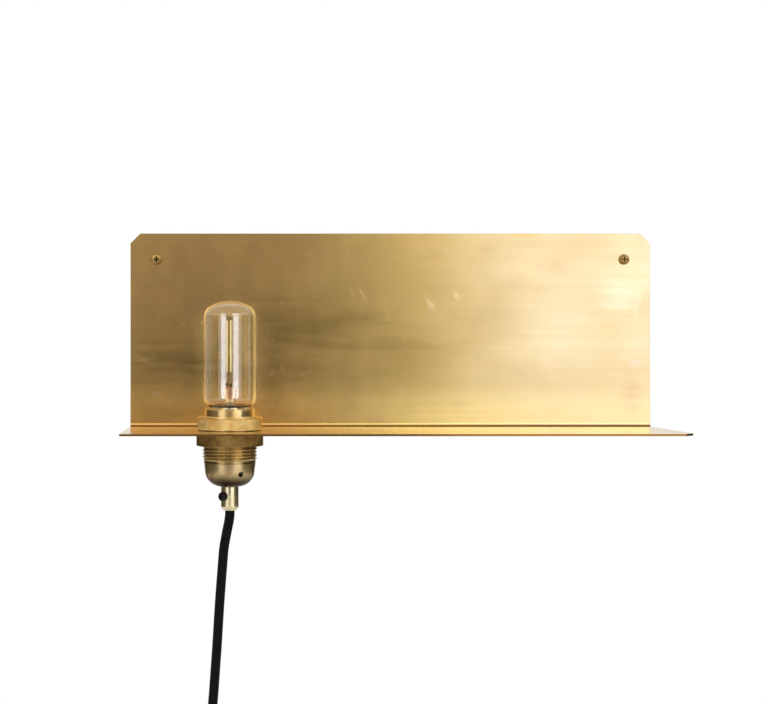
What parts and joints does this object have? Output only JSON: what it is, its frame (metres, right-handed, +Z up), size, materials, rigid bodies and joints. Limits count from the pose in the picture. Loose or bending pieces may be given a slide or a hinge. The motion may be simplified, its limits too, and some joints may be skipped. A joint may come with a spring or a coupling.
{
  "type": "wall lamp with shelf",
  "caption": "Wall lamp made of a bent brass sheet that is also a shelf; a threaded lampholder with a tube bulb is clamped in it by knurled rings and fed by a textile cord with switch and plug.",
  "frame": {"origin": "midway between the axes of the two wall screws, on the plate's back face, which is the wall's surface", "axes": "+X runs along the wall to the right as seen from the room, +Y goes into the wall, +Z is up"},
  "size_m": [0.4, 0.1285, 0.643],
  "materials": {
    "brass_sheet": "aged raw brass sheet, satin with cloudy patina",
    "turned_brass": "turned raw brass, satin",
    "contact_brass": "plain stamped brass",
    "steel": "zinc-plated steel",
    "nickel": "nickel plate",
    "porcelain": "glazed white porcelain",
    "black_plastic": "black moulded plastic, satin",
    "black_textile": "black braided textile",
    "brown_insulation": "brown insulation",
    "blue_insulation": "blue insulation",
    "green_insulation": "green and yellow insulation",
    "bulb_glass": "clear glass with a light amber tint",
    "clear_glass": "clear glass",
    "black_glass": "black vitrite glass",
    "filament": "yellow phosphor coat",
    "circuit_board": "green circuit board with black parts"
  },
  "bodies": {
    "wall_bracket": {"shelf_bracket": "brass_sheet", "wall_screws": "turned_brass", "lampholder_skirt": "turned_brass", "lampholder_cap": "turned_brass", "porcelain_insert": "porcelain", "screw_shell": "contact_brass", "centre_contact": "contact_brass", "terminal_blocks": "contact_brass", "terminal_screws": "steel", "earth_strap": "steel", "insert_screws": "steel", "earth_screw": "contact_brass", "entry_nut": "steel", "cord_grip": "turned_brass", "cord_end_in_grip": "black_textile", "live_core": "brown_insulation", "neutral_core": "blue_insulation", "earth_core": "green_insulation", "cord_upper": "black_textile", "switch_back_shell": "black_plastic", "switch_front_shell": "black_plastic", "switch_contacts": "contact_brass", "switch_cores": "brown_insulation", "switch_screws": "steel", "cord_lower": "black_textile", "cord_coil": "black_textile", "cord_tie": "black_textile", "plug_body": "black_plastic", "plug_pins": "nickel", "plug_earth_clips": "nickel", "plug_sleeve": "black_plastic"},
    "upper_ring": {"upper_shade_ring": "turned_brass"},
    "lower_ring": {"lower_shade_ring": "turned_brass"},
    "grip_screw": {"grip_set_screw": "black_plastic"},
    "bulb": {"bulb_glass": "bulb_glass", "bulb_stem": "clear_glass", "bulb_wires": "steel", "bulb_filaments": "filament", "bulb_screw_cap": "nickel", "bulb_cap_glass": "black_glass", "bulb_centre_contact": "contact_brass", "bulb_driver": "circuit_board"},
    "rocker": {"switch_rocker": "black_plastic"}
  },
  "joints": [
    {"name": "bulb_turn", "type": "hinge", "parent": "wall_bracket", "child": "bulb", "pos_m": [-0.1235, -0.05, -0.1285], "axis": [0, 0, 1], "range_deg": [0, 1620]},
    {"name": "upper_ring_turn", "type": "hinge", "parent": "wall_bracket", "child": "upper_ring", "pos_m": [-0.1235, -0.05, -0.1285], "axis": [0, 0, 1], "range_deg": [0, 1500]},
    {"name": "lower_ring_turn", "type": "hinge", "parent": "wall_bracket", "child": "lower_ring", "pos_m": [-0.1235, -0.05, -0.1285], "axis": [0, 0, -1], "range_deg": [0, 2880]},
    {"name": "grip_screw_turn", "type": "hinge", "parent": "wall_bracket", "child": "grip_screw", "pos_m": [-0.1235, -0.05, -0.1765], "axis": [-0.6561, -0.7547, 0], "range_deg": [0, 720]},
    {"name": "switch_rocker_tilt", "type": "hinge", "parent": "wall_bracket", "child": "rocker", "pos_m": [-0.1366, -0.0578, -0.374], "axis": [-1, 0, 0], "range_deg": [0, 16]}
  ]
}
